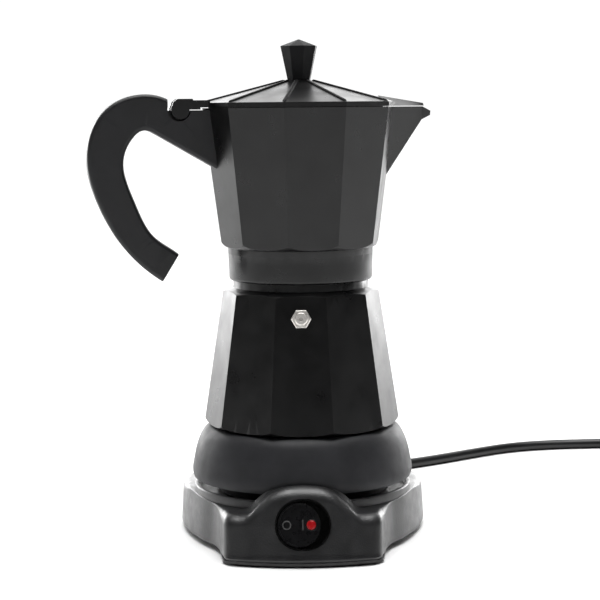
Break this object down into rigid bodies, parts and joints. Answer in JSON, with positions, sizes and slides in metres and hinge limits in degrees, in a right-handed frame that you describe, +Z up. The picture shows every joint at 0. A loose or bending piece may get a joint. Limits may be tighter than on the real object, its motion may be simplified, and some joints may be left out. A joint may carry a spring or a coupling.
{
  "type": "electric moka pot",
  "caption": "Black faceted moka pot with a looped handle, hinged lid and spout, standing on a corded power base with a round rocker switch.",
  "frame": {"origin": "on the pot's axis at the table, in the plane of the foot ring's flat underside", "axes": "+Z up the pot's axis; -Y is the front, where the switch and the safety valve face; +X is the viewer's right, close to the spout"},
  "size_m": [0.4352, 0.3243, 0.2742],
  "materials": {
    "black_abs": "fine grain, semi-gloss",
    "black_handle": "satin",
    "black_paint": "satin black coating",
    "cast_aluminium": "satin",
    "steel": "plain",
    "nickel": "nickel plated",
    "brass": "plain",
    "rubber": "matte",
    "gasket_rubber": "food-grade silicone",
    "cord_pvc": "smooth, semi-matte",
    "lamp": "clear red",
    "gloss_black": "gloss"
  },
  "bodies": {
    "power_base": {"base_cover": "black_abs", "base_plate": "black_abs", "base_screws": "steel", "foot_ring": "rubber", "base_connector": "black_abs", "base_contacts": "brass", "switch_housing": "gloss_black", "switch_terminals": "brass", "strain_relief": "cord_pvc", "power_cord": "cord_pvc", "cord_coil": "cord_pvc", "cord_tail": "cord_pvc", "plug_body": "cord_pvc", "plug_pins": "nickel"},
    "rocker": {"rocker_button": "gloss_black", "lamp_lens": "lamp"},
    "pot_carrier": {"pot_connector": "black_abs", "pot_contacts": "brass"},
    "boiler_body": {"boiler": "black_paint", "heater_plate": "cast_aluminium", "heating_element": "steel", "thermostat": "steel", "thermal_fuse": "steel", "skirt": "black_handle", "skirt_cover": "black_abs", "skirt_screws": "steel", "valve_body": "nickel", "valve_spring": "steel"},
    "valve_stem": {"valve_pin": "nickel"},
    "funnel_body": {"funnel": "cast_aluminium", "funnel_sieve": "cast_aluminium"},
    "seal_set": {"gasket": "gasket_rubber", "filter_plate": "cast_aluminium"},
    "collector_body": {"collector": "black_paint", "handle": "black_handle", "handle_screw": "steel", "hinge_pin": "steel"},
    "lid_body": {"lid": "black_paint", "knob": "black_handle", "knob_screw": "steel", "knob_washer": "steel"}
  },
  "joints": [
    {"name": "rocker_tilt", "type": "hinge", "parent": "power_base", "child": "rocker", "pos_m": [0, -0.06482, 0.01954], "axis": [0, 0.2588, 0.9659], "range_deg": [0, 20]},
    {"name": "pot_lift", "type": "slide", "parent": "power_base", "child": "pot_carrier", "axis": [0, 0, 1], "range_m": [0, 0.06]},
    {"name": "pot_swivel", "type": "hinge", "parent": "pot_carrier", "child": "boiler_body", "pos_m": [0, 0, 0.04], "axis": [0, 0, 1], "continuous": true},
    {"name": "valve_lift", "type": "slide", "parent": "boiler_body", "child": "valve_stem", "axis": [0, -0.9897, 0.1434], "range_m": [0, 0.0012], "stiffness_N_per_m": 900, "springref_m": -0.002},
    {"name": "funnel_lift", "type": "slide", "parent": "boiler_body", "child": "funnel_body", "axis": [0, 0, 1], "range_m": [0, 0.095]},
    {"name": "collector_rise", "type": "slide", "parent": "funnel_body", "child": "seal_set", "axis": [0, 0, 1], "range_m": [0, 0.009]},
    {"name": "collector_turn", "type": "hinge", "parent": "seal_set", "child": "collector_body", "pos_m": [0, 0, 0.15], "axis": [0, 0, 1], "range_deg": [0, 1080]},
    {"name": "lid_hinge", "type": "hinge", "parent": "collector_body", "child": "lid_body", "pos_m": [-0.06511, -0.01078, 0.2365], "axis": [0.1633, -0.9866, 0], "range_deg": [0, 95]}
  ],
  "couplings": [
    {"joint": "collector_rise", "follows": "collector_turn", "m_per_rad": 0.00047746}
  ]
}
